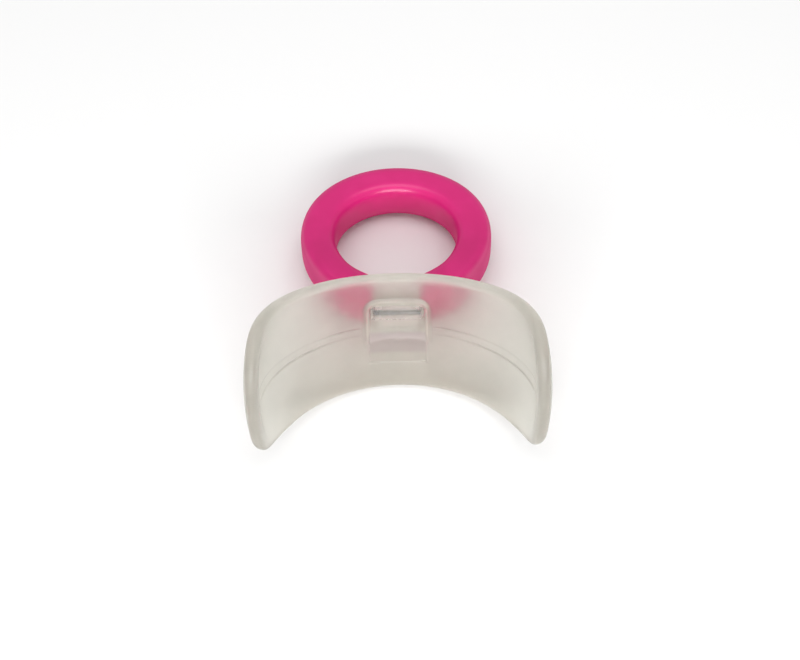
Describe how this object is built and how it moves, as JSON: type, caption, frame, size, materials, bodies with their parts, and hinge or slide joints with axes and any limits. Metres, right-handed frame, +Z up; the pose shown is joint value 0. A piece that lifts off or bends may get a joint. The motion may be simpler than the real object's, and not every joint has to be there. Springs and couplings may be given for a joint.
{
  "type": "cheek retractor",
  "caption": "Curved translucent lip-and-cheek shield with a finger pull ring hinged on a pin through a lug on its outer face.",
  "frame": {"origin": "centre of the lower face of the bounding box, at the level of the table: the object lies on the middle of its lower rim and on the far edge of its ring", "axes": "+X across the mouth, +Y out of the mouth from the shield towards the pull ring, +Z up along the height of the shield"},
  "size_m": [0.0504, 0.06, 0.0289],
  "materials": {
    "frosted_plastic": "translucent, fine frosted texture",
    "magenta_plastic": "satin gloss, smooth moulded",
    "steel": "drawn wire"
  },
  "bodies": {
    "shield": {"shield": "frosted_plastic"},
    "ring": {"pull_ring": "magenta_plastic", "hinge_pin": "steel"}
  },
  "joints": [
    {"name": "ring_swing", "type": "hinge", "parent": "shield", "child": "ring", "pos_m": [0, -0.00196, 0.00926], "axis": [1, 0, 0], "range_deg": [-116, 60]}
  ]
}
